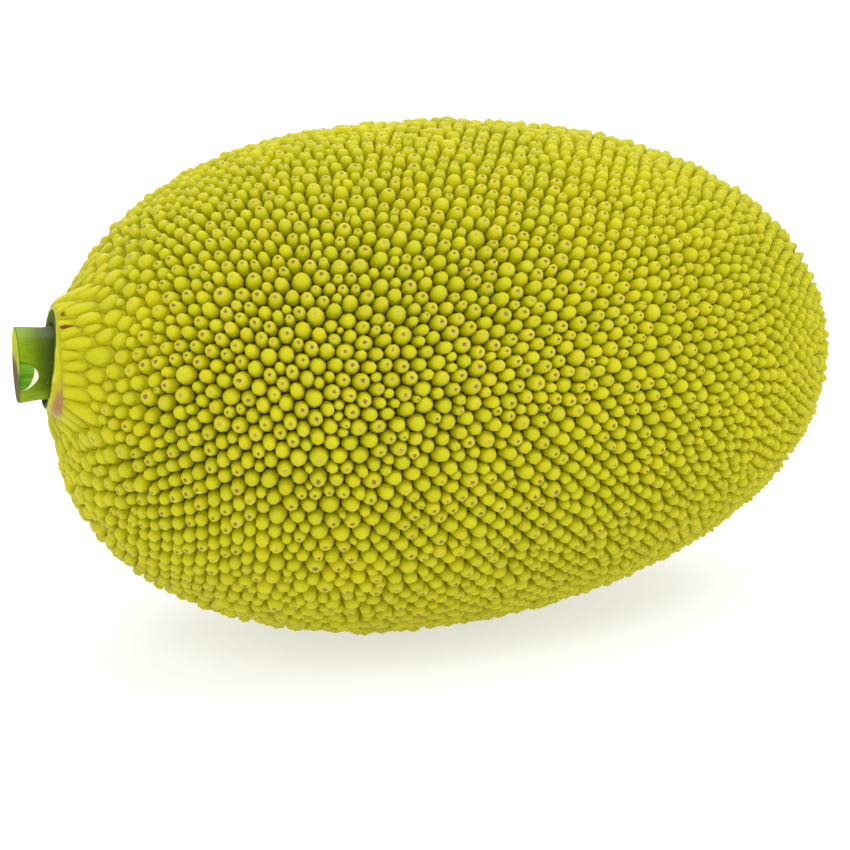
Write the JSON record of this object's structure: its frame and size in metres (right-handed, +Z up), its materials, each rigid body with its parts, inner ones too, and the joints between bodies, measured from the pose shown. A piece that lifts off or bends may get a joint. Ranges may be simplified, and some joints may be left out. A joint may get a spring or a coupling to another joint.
{
  "type": "jackfruit",
  "caption": "Whole ripe jackfruit lying on its side: a long barrel-shaped fruit with a knobbly yellow-green rind, a smooth collar and the short cut stub of its stalk.",
  "frame": {"origin": "on the resting surface, under the middle of the whole object's box", "axes": "+Z up; X along the fruit's long axis, with the stalk at the -X end, turned 9 degrees from -X towards +Y, and the blossom end at +X; +Y towards the side turned away from the front"},
  "size_m": [0.4276, 0.253, 0.2518],
  "materials": {
    "rind": "satin",
    "stalk": "satin"
  },
  "bodies": {
    "root": {"fruit": "rind", "stalk": "stalk"}
  },
  "joints": []
}
